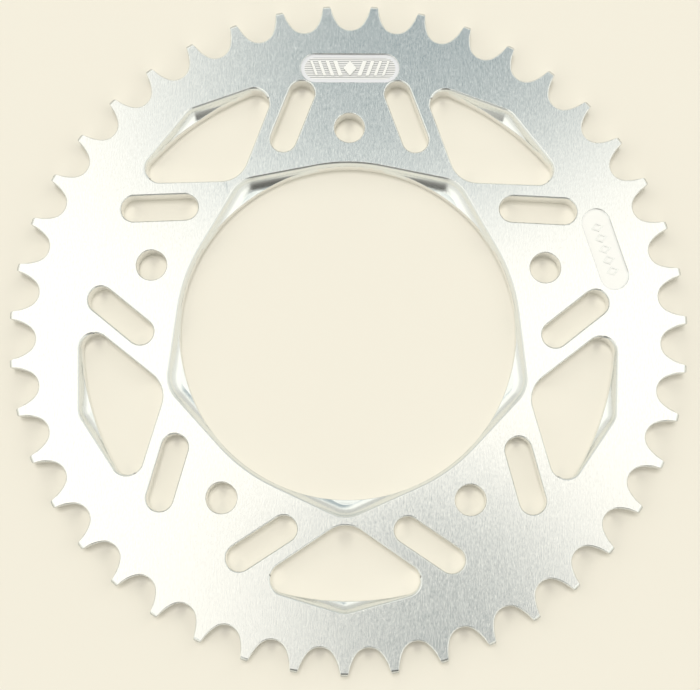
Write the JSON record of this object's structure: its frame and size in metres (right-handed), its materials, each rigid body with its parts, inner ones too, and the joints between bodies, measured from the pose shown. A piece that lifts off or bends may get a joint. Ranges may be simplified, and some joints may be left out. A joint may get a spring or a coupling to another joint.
{
  "type": "rear sprocket",
  "caption": "Flat aluminium drive sprocket with a large central bore, bolt holes, angled slots, stepped windows and two shallow badge pockets.",
  "frame": {"origin": "centre of the hub bore, on the back face that lies against the wheel hub", "axes": "+Z out of the marked face along the bore, +Y from the bore centre to the bolt hole under the long badge, +X to its right"},
  "size_m": [0.2248, 0.2246, 0.0073],
  "materials": {
    "aluminium": "straight-line brushed, bare"
  },
  "bodies": {
    "root": {"sprocket_plate": "aluminium"}
  },
  "joints": []
}
